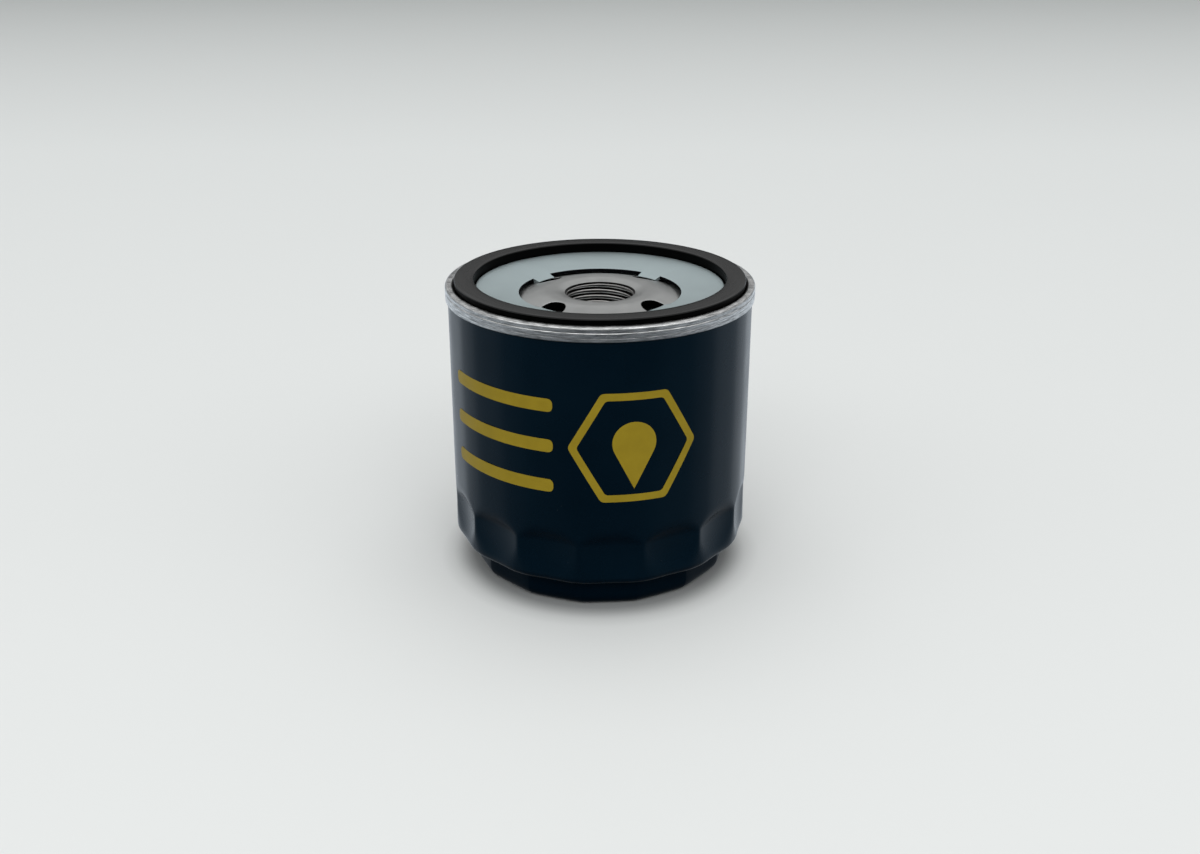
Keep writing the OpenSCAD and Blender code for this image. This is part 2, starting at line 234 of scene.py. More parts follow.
class Surface:
    """A procedural material: a Principled shader, with short calls for the nodes that feed it."""

    def __init__(self, name, **values):
        self.material = bpy.data.materials.new(name)
        self.material.use_nodes = True
        self.tree = self.material.node_tree
        self.shader = self.tree.nodes["Principled BSDF"]
        for socket, value in values.items():
            label = socket.replace("_", " ").title().replace("Ior", "IOR")
            self.shader.inputs[label].default_value = value
        where = self.tree.nodes.new("ShaderNodeTexCoord").outputs["Object"]
        self.mm = self.vector("MULTIPLY", where, (1000, 1000, 1000))
        split = self.tree.nodes.new("ShaderNodeSeparateXYZ")
        self.tree.links.new(self.mm, split.inputs[0])
        self.x, self.y, self.z = split.outputs
        squares = [self.math("POWER", axis, 2) for axis in (self.x, self.y)]
        self.r = self.math("SQRT", self.math("ADD", *squares))

    def feed(self, socket, value):
        if isinstance(value, bpy.types.NodeSocket):
            self.tree.links.new(value, socket)
        else:
            socket.default_value = value

    def math(self, operation, a, b=0.0):
        node = self.tree.nodes.new("ShaderNodeMath")
        node.operation = operation
        self.feed(node.inputs[0], a)
        self.feed(node.inputs[1], b)
        return node.outputs[0]

    def vector(self, operation, a, b):
        node = self.tree.nodes.new("ShaderNodeVectorMath")
        node.operation = operation
        self.feed(node.inputs[0], a)
        self.feed(node.inputs[1], b)
        return node.outputs[0]

    def join(self, x, y, z):
        node = self.tree.nodes.new("ShaderNodeCombineXYZ")
        for socket, value in zip(node.inputs, (x, y, z)):
            self.feed(socket, value)
        return node.outputs[0]

    def noise(self, size, detail=3, vector=None, roughness=0.5):
        """Noise with features of about that many millimetres."""
        node = self.tree.nodes.new("ShaderNodeTexNoise")
        self.feed(node.inputs["Vector"], vector or self.mm)
        node.inputs["Scale"].default_value = 1 / size
        node.inputs["Detail"].default_value = detail
        node.inputs["Roughness"].default_value = roughness
        return node.outputs["Fac"]

    def cells(self, size):
        """Distance to the nearest of scattered points, that many millimetres apart."""
        node = self.tree.nodes.new("ShaderNodeTexVoronoi")
        self.feed(node.inputs["Vector"], self.mm)
        node.inputs["Scale"].default_value = 1 / size
        return node.outputs["Distance"]

    def ramp(self, value, *stops):
        """A colour or level from (position, value) stops."""
        node = self.tree.nodes.new("ShaderNodeValToRGB")
        elements = node.color_ramp.elements
        for i, (position, level) in enumerate(stops):
            element = elements[i] if i < 2 else elements.new(position)
            element.position = position
            colour = level if isinstance(level, tuple) else (level, level, level)
            element.color = (*colour, 1)
        self.feed(node.inputs[0], value)
        return node.outputs[0]

    def mix(self, factor, a, b):
        node = self.tree.nodes.new("ShaderNodeMix")
        node.data_type = "RGBA"
        self.feed(node.inputs[0], factor)
        colour_a, colour_b = [s for s in node.inputs if s.type == "RGBA"]
        self.feed(colour_a, a if isinstance(a, bpy.types.NodeSocket) else (*a, 1))
        self.feed(colour_b, b if isinstance(b, bpy.types.NodeSocket) else (*b, 1))
        return [s for s in node.outputs if s.type == "RGBA"][0]

    def turned(self, along, across):
        """Coordinates for marks that run round the axis, along and across in millimetres a feature."""
        angle = self.math("ARCTAN2", self.y, self.x)
        lead = MARKS_R / along
        return self.join(
            self.math("MULTIPLY", self.math("COSINE", angle), lead),
            self.math("MULTIPLY", self.math("SINE", angle), lead),
            across,
        )

    def colour(self, value):
        self.feed(self.shader.inputs["Base Color"], value)
        return self

    def roughness(self, value):
        self.feed(self.shader.inputs["Roughness"], value)
        return self

    def bumps(self, *layers):
        """Bump from (height, depth in millimetres) layers."""
        normal = None
        for height, depth in layers:
            node = self.tree.nodes.new("ShaderNodeBump")
            node.inputs["Strength"].default_value = 1
            node.inputs["Distance"].default_value = depth * MM
            self.feed(node.inputs["Height"], height)
            if normal:
                self.feed(node.inputs["Normal"], normal)
            normal = node.outputs[0]
        self.feed(self.shader.inputs["Normal"], normal)
        return self


def navy_enamel(name="navy_enamel", gloss=0.2, rough=0.27):
    s = Surface(name, ior=1.5, specular_ior_level=gloss, specular_tint=(0.3, 0.7, 1.0, 1.0))
    cloud = s.noise(14, 3)
    dust = s.math("LESS_THAN", s.cells(2.6), 0.035)
    patch = s.math("GREATER_THAN", s.noise(9, 2), 0.56)
    speck = s.math("MULTIPLY", dust, patch)
    base = s.ramp(cloud, (0.3, (0.0001, 0.0026, 0.0058)), (0.7, (0.0003, 0.0034, 0.0074)))
    s.colour(s.mix(s.math("MULTIPLY", speck, 0.35), base, (0.05, 0.055, 0.06)))
    s.roughness(s.ramp(cloud, (0.3, rough - 0.03), (0.7, rough + 0.03)))
    return s.bumps((s.noise(16, 1), 0.04), (s.noise(1.6, 2), 0.002)).material


def zinc_plate(name="zinc_plate", rolled=False):
    s = Surface(name, metallic=1.0)
    grain = s.noise(0.22, 4, roughness=0.65)
    cloud = s.noise(7, 4, roughness=0.55)
    lap = s.noise(1.0, 5, s.turned(14, s.math("MULTIPLY", s.math("ADD", s.z, s.r), 5.0)), roughness=0.6)
    if rolled:
        scuff = s.noise(1.0, 4, s.turned(3.2, s.math("MULTIPLY", s.z, 4.2)), roughness=0.7)
        worn, sheet, bright = (0.22, 0.227, 0.23), (0.54, 0.55, 0.55), (0.86, 0.87, 0.87)
        s.colour(s.ramp(scuff, (0.34, worn), (0.5, sheet), (0.66, bright)))
        s.roughness(s.ramp(lap, (0.3, 0.20), (0.7, 0.42)))
        return s.bumps((s.noise(6, 2), 0.03), (lap, 0.012), (scuff, 0.008), (grain, 0.002)).material
    base = s.ramp(cloud, (0.25, (0.53, 0.62, 0.635)), (0.75, (0.56, 0.65, 0.665)))
    s.colour(s.mix(s.math("MULTIPLY", grain, 0.25), base, (0.45, 0.53, 0.545)))
    s.roughness(s.ramp(cloud, (0.3, 0.50), (0.7, 0.56)))
    return s.bumps((lap, 0.0012), (grain, 0.0016)).material


def sheared_edge_painted_shade():
    """The opening's cut edge, its colour painted near-black as shade."""
    s = Surface("sheared_edge_painted_shade", ior=1.4, specular_ior_level=0.03, roughness=0.6)
    torn = s.noise(0.6, 3, s.turned(2, s.z))
    s.colour(s.ramp(torn, (0.3, (0.0003, 0.0003, 0.0005)), (0.7, (0.002, 0.002, 0.003))))
    return s.bumps((s.noise(0.3, 3), 0.01)).material


def bore_painted_shade():
    """Bright steel on the thread's crests, and painted near-black shade in its grooves and on the port walls.
    """
    s = Surface("bore_painted_shade", metallic=1.0)
    crest = s.math("LESS_THAN", s.r, THREAD_MINOR_R + CREST_WORN)
    painted_shade_level = s.noise(1.2, 4)
    painted_dark_shade = s.ramp(painted_shade_level, (0.3, (0.001, 0.001, 0.001)), (0.7, (0.005, 0.0045, 0.004)))
    s.colour(s.mix(crest, painted_dark_shade, (0.62, 0.61, 0.60)))
    s.roughness(s.ramp(painted_shade_level, (0.3, 0.35), (0.7, 0.50)))
    return s.bumps((s.noise(0.4, 3), 0.003)).material


def turned_steel():
    s = Surface("pressed_plate_steel", metallic=1.0)
    grain = s.noise(0.16, 4, roughness=0.7)
    cloud = s.noise(4.5, 4)
    marks = s.noise(1.0, 5, s.turned(8, s.math("MULTIPLY", s.r, 3.6)), roughness=0.65)
    mottled = s.math("ADD", s.math("MULTIPLY", cloud, 0.6), s.math("MULTIPLY", marks, 0.4))
    oily = s.ramp(mottled, (0.3, (0.43, 0.44, 0.435)), (0.7, (0.54, 0.55, 0.545)))
    s.colour(s.mix(s.math("MULTIPLY", grain, 0.3), oily, (0.34, 0.35, 0.345)))
    s.roughness(s.ramp(marks, (0.3, 0.30), (0.7, 0.44)))
    return s.bumps((marks, 0.004), (grain, 0.0022)).material


def scaled(tone, factor):
    """A darker or lighter tone."""
    return tuple(min(1, c * factor) for c in tone)


def moulded_rubber(name, tone, rough, bloom=0.35, gloss=0.5):
    s = Surface(name, ior=1.5, specular_ior_level=gloss)
    grain = s.noise(0.12, 4, roughness=0.7)
    cloud = s.noise(5, 4)
    swirl = s.noise(1.0, 3, s.turned(12, s.math("MULTIPLY", s.math("ADD", s.z, s.r), 1.6)))
    mottled = s.math("ADD", s.math("MULTIPLY", cloud, 0.5), s.math("MULTIPLY", swirl, 0.5))
    base = s.ramp(mottled, (0.35, scaled(tone, 0.75)), (0.68, scaled(tone, 1.5)))
    dusty = s.math("MULTIPLY", s.math("GREATER_THAN", grain, 0.63), bloom)
    s.colour(s.mix(dusty, base, scaled(tone, 3)))
    s.roughness(s.ramp(swirl, (0.3, rough - 0.06), (0.7, rough + 0.08)))
    return s.bumps((swirl, 0.004), (grain, 0.004)).material


def pressed_steel(name, tone, rough, streaks=0.4):
    s = Surface(name, metallic=1.0)
    grain = s.noise(0.2, 4, roughness=0.65)
    cloud = s.noise(6, 4)
    marks = s.noise(1.0, 4, s.turned(10, s.math("MULTIPLY", s.math("ADD", s.z, s.r), 3.0)), roughness=0.6)
    mottled = s.math("ADD", s.math("MULTIPLY", cloud, 1 - streaks), s.math("MULTIPLY", marks, streaks))
    base = s.ramp(mottled, (0.3, scaled(tone, 0.82)), (0.7, scaled(tone, 1.08)))
    s.colour(s.mix(s.math("MULTIPLY", grain, 0.25), base, scaled(tone, 0.7)))
    s.roughness(s.ramp(marks, (0.3, rough - 0.08), (0.7, rough + 0.08)))
    return s.bumps((marks, 0.003), (grain, 0.002)).material


def filter_paper():
    s = Surface("filter_paper", roughness=0.9, ior=1.4)
    fibre = s.noise(0.35, 6, s.join(s.x, s.y, s.math("MULTIPLY", s.z, 0.35)), 0.75)
    cloud = s.noise(5, 4)
    rows = s.math("SINE", s.math("MULTIPLY", s.z, TURN / 2.4))
    base = s.ramp(cloud, (0.3, (0.62, 0.44, 0.16)), (0.7, (0.72, 0.54, 0.23)))
    s.colour(s.mix(s.math("MULTIPLY", fibre, 0.45), base, (0.46, 0.31, 0.10)))
    s.roughness(s.ramp(fibre, (0.3, 0.82), (0.7, 0.95)))
    return s.bumps((rows, 0.05), (fibre, 0.04)).material


def cured_adhesive():
    s = Surface("cured_adhesive", ior=1.5)
    cloud = s.noise(3, 4)
    pores = s.math("LESS_THAN", s.cells(1.3), 0.12)
    base = s.ramp(cloud, (0.3, (0.42, 0.13, 0.05)), (0.7, (0.55, 0.19, 0.08)))
    s.colour(s.mix(s.math("MULTIPLY", pores, 0.5), base, (0.20, 0.06, 0.03)))
    s.roughness(s.ramp(cloud, (0.3, 0.35), (0.7, 0.55)))
    return s.bumps((cloud, 0.08), (pores, 0.03)).material


def spring_wire(name):
    s = Surface(name, metallic=1.0)
    drawn = s.noise(0.5, 4, roughness=0.6)
    scale = s.noise(3, 4)
    base = s.ramp(scale, (0.3, (0.20, 0.20, 0.215)), (0.7, (0.34, 0.34, 0.35)))
    s.colour(s.mix(s.math("MULTIPLY", drawn, 0.4), base, (0.13, 0.12, 0.12)))
    s.roughness(s.ramp(drawn, (0.3, 0.28), (0.7, 0.46)))
    return s.bumps((drawn, 0.006)).material


def gold_ink():
    s = Surface("gold_ink", ior=1.5, specular_ior_level=0.2)
    flake = s.noise(0.18, 3, roughness=0.7)
    cloud = s.noise(4, 4)
    base = s.ramp(cloud, (0.3, (0.19, 0.135, 0.003)), (0.7, (0.22, 0.158, 0.005)))
    s.colour(s.mix(s.math("MULTIPLY", flake, 0.3), base, (0.28, 0.20, 0.012)))
    s.roughness(s.ramp(flake, (0.3, 0.42), (0.7, 0.54)))
    return s.bumps((flake, 0.002)).material


def pale_floor():
    s = Surface("pale_floor", ior=1.4, roughness=0.6)
    # Painted shade: the floor's colour darkens towards the back, standing in for the light falling off
    distance = s.math("ADD", s.math("MULTIPLY", s.math("MULTIPLY", s.y, 0.001), 0.4), 0.2)
    close, middle, far = (0.60, 0.615, 0.61), (0.59, 0.61, 0.605), (0.37, 0.39, 0.385)
    tone = s.ramp(distance, (0.12, close), (0.42, middle), (0.9, far))
    cloud = s.noise(90, 3)
    floor_before_contact_shade = s.mix(s.math("MULTIPLY", cloud, 0.08), tone, (0.52, 0.54, 0.54))
    # Painted contact shadow: the floor's colour darkened to near-black just round the neck, which deepens the
    # shadow there
    painted_shade_level = s.ramp(s.math("MULTIPLY", s.r, 0.01), (0.33, 0.58), (0.355, 0.36), (0.385, 0.12), (0.42, 0.0))
    s.colour(s.mix(painted_shade_level, floor_before_contact_shade, (0.03, 0.035, 0.04)))
    return s.bumps((s.noise(2.5, 3), 0.01)).material


# --------------------------------------------------
# The can: a fluted wall, a rounded shoulder, a neck and a recessed base panel
# --------------------------------------------------


def soft_min(a, b, blend):
    """The smaller of two values, eased where they cross."""
    near = max(blend - abs(a - b), 0) / blend
    return min(a, b) - near * near * blend / 4


def wall_radius(angle, z, blend=0.3):
    """Radius of the can's outer wall. Its flutes run out at their top and fade towards its lower edge."""
    pitch = TURN / FLUTES
    centre = CAN_R - FLUTE_DEPTH + FLUTE_R
    rise = min(max(z - FLUTE_TOP, 0) / FLUTE_RUNOUT, 1)
    rise = rise * rise * (3 - 2 * rise)
    blend += 0.9 * rise
    fall = min(max(FLUTE_FADE_Z - z, 0) / (FLUTE_FADE_Z - SHOULDER_Z - EDGE_R), 1)
    fall = fall * fall
    hollow = FLUTE_R - rise * FLUTE_DEPTH * 1.25 - fall * FLUTE_FADE
    blend += 0.5 * fall
    offset = (angle - FLUTE_AZIMUTH + pitch / 2) % pitch - pitch / 2
    radius = CAN_R
    for shift in (-pitch, 0, pitch):
        a = offset + shift
        inside = hollow * hollow - (centre * math.sin(a)) ** 2
        if inside > 0:
            radius = soft_min(radius, centre * math.cos(a) - math.sqrt(inside), blend)
    return radius


def faceted(r, angle):
    """A radius on the neck or base, drawn in between the ridges so that the neck is a soft polygon."""
    pitch = TURN / FLUTES
    offset = (angle - FLUTE_AZIMUTH + pitch / 2) % pitch - pitch / 2
    flat = soft_min(math.cos(pitch / 2) / math.cos(offset), 1, NECK_SOFT)
    share = min(max(r - NECK_R + 2 * NECK_ROUND, 0) / (2 * NECK_ROUND), 1)
    return r * (1 - share * (1 - flat))


def flute_columns(half):
    """Angles round the can, closer together towards the ridges between the flutes."""
    pitch = TURN / FLUTES
    angles = []
    for i in range(FLUTES):
        middle = FLUTE_AZIMUTH + i * pitch
        for k in range(-half, half):
            u = k / half
            bent = math.copysign(1 - (1 - abs(u)) ** 2, u) if u else 0
            angles.append(middle + bent * pitch / 2)
    return angles


def can_path():
    """The can's section from its open end down the outside and back up the inside.

    Each point is (r or None, z, inset): with no r of its own it keeps to the wall, less the inset."""
    bend_z = SHOULDER_Z + EDGE_R
    runout_z = FLUTE_TOP + FLUTE_RUNOUT + 0.5
    path = [(None, z, 0) for z in spaced(CAN_TOP, runout_z, 14)]
    path += [(None, z, 0) for z in spaced(runout_z, FLUTE_TOP - 1.5, 28)]
    path += [(None, z, 0) for z in spaced(FLUTE_TOP - 1.5, bend_z, 10)]
    for k in range(9):
        a = math.radians(90 * k / 8)
        path.append((None, bend_z - EDGE_R * math.sin(a), EDGE_R - EDGE_R * math.cos(a)))
    neck = filleted([
        (NECK_R + 0.6, SHOULDER_Z, 0),
        (NECK_R, SHOULDER_Z, 0.25),
        (NECK_R, 0, NECK_ROUND),
        (PANEL_R + PANEL_SLOPE, 0, 1.5),
        (PANEL_R, PANEL_DEPTH, 1.5),
        (0.01, PANEL_DEPTH, 0),
    ], steps=8)
    path += [(r, z, 0) for r, z in neck]
    inner = filleted([
        (0.01, PANEL_DEPTH + CAN_WALL, 0),
        (PANEL_R, PANEL_DEPTH + CAN_WALL, 1),
        (PANEL_R + PANEL_SLOPE, CAN_WALL, 1),
        (NECK_R - CAN_WALL, CAN_WALL, NECK_ROUND - CAN_WALL),
        (NECK_R - CAN_WALL, SHOULDER_Z + CAN_WALL, 0.5),
        (NECK_R, SHOULDER_Z + CAN_WALL, 0),
    ], steps=4)
    path += [(r, z, 0) for r, z in inner]
    inner_bend = EDGE_R - CAN_WALL
    for k in range(5):
        a = math.radians(90 * (1 - k / 4))
        path.append((None, bend_z - inner_bend * math.sin(a), CAN_WALL + inner_bend * (1 - math.cos(a))))
    path += [(None, z, CAN_WALL) for z in spaced(bend_z + 0.5, runout_z, 14)]
    path += [(None, z, CAN_WALL) for z in spaced(runout_z, CAN_TOP, 5)]
    path.append((None, CAN_TOP, CAN_WALL))
    return path


def build_can():
    path = can_path()
    bend_z = SHOULDER_Z + EDGE_R
    rings = []
    for angle in flute_columns(16):
        ring = []
        for r, z, inset in path:
            if r is None:
                r = wall_radius(angle, max(z, bend_z)) - inset
            else:
                r = faceted(r, angle)
            ring.append(polar(r, angle, z))
        rings.append(ring)
    can = make_object("can_shell", *sweep_rings(rings), sharp=50)
    can.data.materials.append(navy_enamel())
    can.data.materials.append(navy_enamel("base_enamel", gloss=0.05, rough=0.45))
    base_top = (SHOULDER_Z + 0.15) * MM
    for polygon in can.data.polygons:
        if polygon.center.z < base_top:
            polygon.material_index = 1
    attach(can, "canister")
    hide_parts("can")
    return can


# --------------------------------------------------
# The lid: a sloping zinc-plated ring with four tabs, the gasket's groove and the rolled seam
# --------------------------------------------------


def flank_z(r):
    return CROWN_Z - (r - CROWN_R) * (CROWN_Z - VALLEY_Z) / (VALLEY_R - CROWN_R)


def lid_columns(segments):
    """(angle, whether a tab is there) round the lid, with both columns of a pair at each tab's side."""
    half = TAB_ANGLE / 2
    columns = []
    step = TURN / segments
    for port in PORTS:
        count = max(2, round(TAB_ANGLE / step))
        columns += [(port - half, False)]
        columns += [(port - half + TAB_ANGLE * i / count, True) for i in range(count + 1)]
        columns += [(port + half, False)]
        span = TURN / 4 - TAB_ANGLE
        count = max(2, round(span / step))
        columns += [(port + half + span * i / count, False) for i in range(1, count)]
    return columns


def lid_outline(tab):
    """The lid's closed section. With no tab, the tab's points gather on the opening's edge."""
    groove_ir = GASKET_IR - GROOVE_SIDE
    groove_or = GASKET_R + GROOVE_SIDE
    seam_z = SEAM_TOP - SEAM_H
    channel_z = SEAM_TOP - 0.65
    skirt_ir = CAN_R + GAP
    wall_or = CAN_R - CAN_WALL - 2 * GAP
    slope = (LIP_Z - OPENING_Z) / (groove_ir - LID_T - OPENING_R)
    outer = filleted([
        (OPENING_R + 0.6, OPENING_Z + 0.6 * slope, 0),
        (groove_ir - LID_T - 0.5, LIP_Z - 0.1, 1.2),
        (groove_ir, LIP_Z + 0.05, 0.5),
        (groove_ir, GROOVE_Z, 0.25),
        (groove_or, GROOVE_Z, 0.25),
        (groove_or, SEAM_TOP, 0.75),
        (SEAM_R - 0.02, SEAM_TOP, 0.85),
        (SEAM_R, SEAM_TOP - 1.22, 0.12),
        (SEAM_R - 0.16, SEAM_TOP - 1.36, 0.05),
        (SEAM_R - 0.01, SEAM_TOP - 1.52, 0.12),
        (SEAM_R, SEAM_TOP - 2.55, 0.1),
        (SEAM_R - 0.05, SEAM_TOP - 2.63, 0.03),
        (SEAM_R - 0.02, SEAM_TOP - 2.71, 0.1),
        (SEAM_R - 0.04, seam_z, 0.3),
        (skirt_ir, seam_z, 0.12),
        (skirt_ir, channel_z, 0),
        (wall_or, channel_z, 0),
        (wall_or, GROOVE_Z - LID_T, 0.6),
        (groove_ir - LID_T, GROOVE_Z - LID_T, 0.6),
        (groove_ir - LID_T, LIP_Z - LID_T - 0.1, 0.4),
        (OPENING_R + 0.6, OPENING_Z + 0.6 * slope - LID_T, 0),
    ], steps=5)
    inner_r = OPENING_R - TAB_REACH
    heel_r = OPENING_R - 0.25
    tip_z = flank_z(inner_r) + GAP
    tongue = filleted([
        (OPENING_R + 0.6, OPENING_Z + 0.6 * slope - LID_T, 0),
        (heel_r, flank_z(heel_r) + GAP, 0.5),
        (inner_r, tip_z, 0.03),
        (inner_r, tip_z + 0.12, 0.06),
        (OPENING_R + 0.05, OPENING_Z - 0.08, 1.2),
        (OPENING_R + 0.6, OPENING_Z + 0.6 * slope, 0),
    ], steps=4)[1:-1]
    if not tab:
        edge = filleted([
            (OPENING_R + 0.6, OPENING_Z + 0.6 * slope - LID_T, 0),
            (OPENING_R, OPENING_Z - LID_T, 0.1),
            (OPENING_R, OPENING_Z, 0.14),
            (OPENING_R + 0.6, OPENING_Z + 0.6 * slope, 0),
        ], steps=4)[1:-1]
        tongue = [edge[i * len(edge) // len(tongue)] for i in range(len(tongue))]
    return outer + tongue


def build_lid():
    outlines = {tab: lid_outline(tab) for tab in (False, True)}
    rings = [[polar(r, angle, z) for r, z in outlines[tab]] for angle, tab in lid_columns(300)]
    lid = make_object("seamed_lid", *sweep_rings(rings), sharp=40)
    lid.data.materials.append(zinc_plate())
    lid.data.materials.append(zinc_plate("rolled_zinc_seam", rolled=True))
    lid.data.materials.append(sheared_edge_painted_shade())
    seam_start = GASKET_R + GROOVE_SIDE - 0.05
    for polygon in lid.data.polygons:
        r = math.hypot(polygon.center.x, polygon.center.y) / MM
        if r > seam_start:
            polygon.material_index = 1
        # The opening's cut edge takes painted shade: a near-black colour on its faces
        elif abs(r - OPENING_R) < 0.06 and abs(polygon.normal.z) < 0.85:
            polygon.material_index = 2
    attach(lid, "canister")
    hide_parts("seaming_lid")
    return lid


# --------------------------------------------------
# The tapping plate: a crowned pressing with four ports and a collar with a right-hand thread
# --------------------------------------------------


def plate_profile():
    """The plate's top from the mouth outwards, as (r, z) points."""
    rim_slope = (LIP_Z - OPENING_Z - 0.225) / (GASKET_IR - GROOVE_SIDE - LID_T - OPENING_R)
    under_lid = OPENING_Z - OPENING_R * rim_slope - LID_T - 2 * GAP
    rim_start_z = under_lid + RIM_START_R * rim_slope
    rim_end_z = under_lid + PLATE_R * rim_slope
    start = math.degrees(math.asin((MOUTH_START_R - MOUTH_R) / MOUTH_ROUND))
    mouth = arc(MOUTH_START_R, CROWN_Z - MOUTH_ROUND, MOUTH_ROUND, 90 + start, 90, 10)
    corners = [
        (MOUTH_START_R + 0.01, CROWN_Z, 0),
        (CROWN_R, CROWN_Z, 9),
        (VALLEY_R, VALLEY_Z, 2.5),
        (VALLEY_END_R, VALLEY_Z, 1.2),
        (RIM_START_R, rim_start_z, 1),
        (PLATE_R, rim_end_z, 0),
        (PLATE_R, CROWN_Z - 9, 0),
    ]
    return mouth + filleted(corners, steps=14)[:-1]


def height_at(profile, r):
    if r <= profile[0][0]:
        return profile[0][1]
    for (r0, z0), (r1, z1) in zip(profile, profile[1:]):
        if r0 <= r <= r1 and r1 > r0:
            return z0 + (z1 - z0) * (r - r0) / (r1 - r0)
    return profile[-1][1]


def edge_drop(distance, radius=0.18):
    """How far a punched hole's rounded edge falls, at a distance outside the hole."""
    if distance >= radius:
        return 0
    return radius - math.sqrt(radius * radius - (radius - max(distance, 0)) ** 2)


def plate_sheet(columns, mouth_r):
    """Triangles over the plate's plan: rings round the axis, and closer rings round each port."""
    port_centres = [Vector((PORT_CIRCLE_R * math.cos(a), PORT_CIRCLE_R * math.sin(a))) for a in PORTS]
    port_rings = [0, 0.015, 0.05, 0.1, 0.18, 0.3, 0.5, 0.75]
    points, edges = [], []

    def ring(centre, r, steps, linked, keep=lambda p: True):
        first = len(points)
        for i in range(steps):
            p = centre + Vector((math.cos(TURN * i / steps), math.sin(TURN * i / steps))) * r
            if keep(p):
                points.append(p)
        if linked:
            edges.extend((first + i, first + (i + 1) % steps) for i in range(steps))

    def away(p):
        return all((p - c).length > PORT_R + port_rings[-1] + 0.2 for c in port_centres)

    axis = Vector((0, 0))
    ring(axis, mouth_r, columns, True)
    ring(axis, PLATE_R, columns, True)
    for r in spaced(mouth_r, COLLAR_R, 12)[1:]:
        ring(axis, r, columns, False)
    ring(axis, COLLAR_R, columns, True)
    for r in spaced(COLLAR_R, VALLEY_R, 24)[1:]:
        ring(axis, r, columns, False, away)
    for r in spaced(VALLEY_R, PLATE_R, 14):
        ring(axis, r, columns, False, away)
    for centre in port_centres:
        for k, distance in enumerate(port_rings):
            ring(centre, PORT_R + distance, PORT_STEPS, k == 0)
    flat, _, triangles, *_ = delaunay_2d_cdt(points, edges, [], 0, 1e-6)
    kept = []
    for t in triangles:
        middle = sum((flat[i] for i in t), Vector((0, 0))) / 3
        if mouth_r < middle.length < PLATE_R and all((middle - c).length > PORT_R for c in port_centres):
            kept.append(tuple(t))
    return flat, kept, port_centres


def build_plate():
    columns = 180
    profile = plate_profile()
    flat, triangles, port_centres = plate_sheet(columns, MOUTH_R)
    verts, faces = [], []

    def add(new_verts, new_faces):
        shift = len(verts)
        verts.extend(new_verts)
        faces.extend(tuple(i + shift for i in f) for f in new_faces)

    def surface(p, lower):
        near = min((p - c).length for c in port_centres) - PORT_R
        z = height_at(profile, p.length)
        return (p.x, p.y, z - PLATE_T + edge_drop(near) if lower else z - edge_drop(near))

    add([surface(p, False) for p in flat], triangles)
    under = [t for t in triangles if sum((flat[i] for i in t), Vector((0, 0))).length / 3 > COLLAR_R]
    add([surface(p, True) for p in flat], under)
    for centre in port_centres:
        angles = [TURN * i / PORT_STEPS for i in range(PORT_STEPS)]
        spots = [centre + Vector((math.cos(a), math.sin(a))) * PORT_R for a in angles]
        walls = [(Vector(surface(p, False)), Vector(surface(p, True))) for p in spots]
        levels = [[tuple(top.lerp(bottom, k / 4)) for top, bottom in walls] for k in range(5)]
        add(*sweep_rings(levels, closed_path=False))

    def level(r, z):
        return [polar(r, TURN * i / columns, z) for i in range(columns)]

    rim_top = height_at(profile, PLATE_R)
    add(*sweep_rings([level(PLATE_R, rim_top), level(PLATE_R, rim_top - PLATE_T)], closed_path=False))
    under_z = height_at(profile, COLLAR_R) - PLATE_T
    collar = [(COLLAR_R, under_z)] + arc(COLLAR_R - 0.4, COLLAR_Z + 0.4, 0.4, 0, -90, 5)
    add(*sweep_rings([level(r, z) for r, z in collar], closed_path=False))

    # The mouth's edge turns down into the bore, where the thread starts
    edge_z = CROWN_Z - MOUTH_DROP
    edge_r = MOUTH_R - MOUTH_EDGE
    thread_top = edge_z - MOUTH_EDGE - (edge_r - THREAD_MINOR_R)
    mouth = [(MOUTH_R, edge_z), (edge_r + 0.04, edge_z - 0.03), (edge_r, edge_z - MOUTH_EDGE)]
    mouth += [(THREAD_MINOR_R + 0.1, thread_top + 0.1), (THREAD_MINOR_R, thread_top)]
    add(*sweep_rings([level(r, z) for r, z in mouth], closed_path=False))
    thread_verts, thread_faces, end_ring = thread_grid(columns, thread_top)
    add(thread_verts, thread_faces)
    add(*sweep_rings([level(COLLAR_R - 0.4, COLLAR_Z), end_ring], closed_path=False))
    plate = make_object("threaded_plate", verts, faces, sharp=38)
    plate.data.materials.append(turned_steel())
    plate.data.materials.append(bore_painted_shade())
    # The bore's grooves and the port walls take the painted near-black shade
    for polygon in plate.data.polygons:
        middle = polygon.center.xy / MM
        in_bore = middle.length < MOUTH_R - 0.02 and polygon.center.z < edge_z * MM
        in_port = any((middle - c).length < PORT_R + 0.01 for c in port_centres)
        if in_bore or in_port:
            polygon.material_index = 1
    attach(plate, "canister")
    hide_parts("tapping_plate")
    return plate


